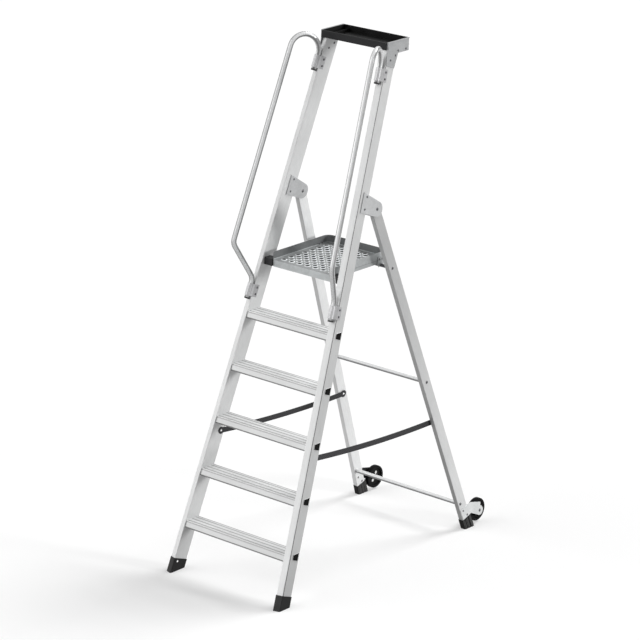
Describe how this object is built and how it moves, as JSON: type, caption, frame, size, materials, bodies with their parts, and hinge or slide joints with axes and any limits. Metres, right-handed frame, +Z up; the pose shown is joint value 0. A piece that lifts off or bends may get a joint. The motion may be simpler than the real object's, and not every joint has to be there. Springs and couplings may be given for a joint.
{
  "type": "podium step",
  "caption": "Folding podium step with ribbed treads, a fold-up perforated platform, bent handrails, a top tool tray and rear transport wheels.",
  "frame": {"origin": "on the floor, under the middle of the footprint", "axes": "+Z up, -Y to the climbing side, +X to the climber's right"},
  "size_m": [0.724, 1.5145, 2.4744],
  "materials": {
    "frame_aluminium": "satin, extruded",
    "tube_aluminium": "smooth satin",
    "plate_steel": "grey, satin",
    "deck_steel": "galvanised",
    "strap_webbing": "woven, matt",
    "black_plastic": "moulded, matt",
    "foot_rubber": "matt",
    "tyre_rubber": "matt",
    "wheel_plastic": "moulded",
    "fastener_steel": "zinc plated"
  },
  "bodies": {
    "front_frame": {"stile_left": "frame_aluminium", "stile_right": "frame_aluminium", "tread_1": "frame_aluminium", "tread_2": "frame_aluminium", "tread_3": "frame_aluminium", "tread_4": "frame_aluminium", "tread_5": "frame_aluminium", "tread_end_plugs": "black_plastic", "front_foot_left": "foot_rubber", "front_foot_right": "foot_rubber", "front_foot_rivets": "fastener_steel", "hinge_plate_outer_left": "plate_steel", "hinge_plate_outer_right": "plate_steel", "hinge_plate_inner_left": "plate_steel", "hinge_plate_inner_right": "plate_steel", "hinge_rivets": "fastener_steel", "hinge_bolts": "fastener_steel", "platform_bearing_left": "black_plastic", "platform_bearing_right": "black_plastic", "tray": "black_plastic", "tray_bracket_left": "plate_steel", "tray_bracket_right": "plate_steel", "tray_rivets": "fastener_steel", "handrail_left": "tube_aluminium", "handrail_right": "tube_aluminium", "rail_end_plugs": "black_plastic", "rail_clamp_upper_left": "plate_steel", "rail_clamp_upper_right": "plate_steel", "rail_clamp_lower_left": "plate_steel", "rail_clamp_lower_right": "plate_steel", "clamp_screws": "fastener_steel", "strap_left": "strap_webbing", "strap_right": "strap_webbing", "strap_front_rivets": "fastener_steel"},
    "rear_frame": {"rear_leg_left": "frame_aluminium", "rear_leg_right": "frame_aluminium", "upper_crossbar": "tube_aluminium", "lower_crossbar": "tube_aluminium", "platform_rod": "fastener_steel", "crossbar_bolts": "fastener_steel", "rear_foot_left": "foot_rubber", "rear_foot_right": "foot_rubber", "wheel_bracket_left": "plate_steel", "wheel_bracket_right": "plate_steel", "bracket_rivets": "fastener_steel", "wheel_axles": "fastener_steel", "hinge_washers": "black_plastic", "strap_rear_rivets": "fastener_steel"},
    "platform": {"platform_deck": "deck_steel", "platform_hooks": "deck_steel", "platform_pins": "fastener_steel", "platform_rivets": "fastener_steel"},
    "wheel_left_body": {"wheel_left": "wheel_plastic", "tyre_left": "tyre_rubber"},
    "wheel_right_body": {"wheel_right": "wheel_plastic", "tyre_right": "tyre_rubber"}
  },
  "joints": [
    {"name": "rear_frame_fold", "type": "hinge", "parent": "front_frame", "child": "rear_frame", "pos_m": [0, 0.04547, 1.718], "axis": [1, 0, 0], "range_deg": [-38.5, 0], "deforming": ["strap_left", "strap_right"]},
    {"name": "platform_fold", "type": "hinge", "parent": "front_frame", "child": "platform", "pos_m": [0, -0.17766, 1.427], "axis": [1, 0, 0], "range_deg": [0, 68.5]},
    {"name": "wheel_left_spin", "type": "hinge", "parent": "rear_frame", "child": "wheel_left_body", "pos_m": [-0.35115, 0.70032, 0.06619], "axis": [1, 0, 0], "continuous": true},
    {"name": "wheel_right_spin", "type": "hinge", "parent": "rear_frame", "child": "wheel_right_body", "pos_m": [0.35115, 0.70032, 0.06619], "axis": [1, 0, 0], "continuous": true}
  ],
  "couplings": [
    {"joint": "platform_fold", "follows": "rear_frame_fold", "ratio": -1.776}
  ]
}
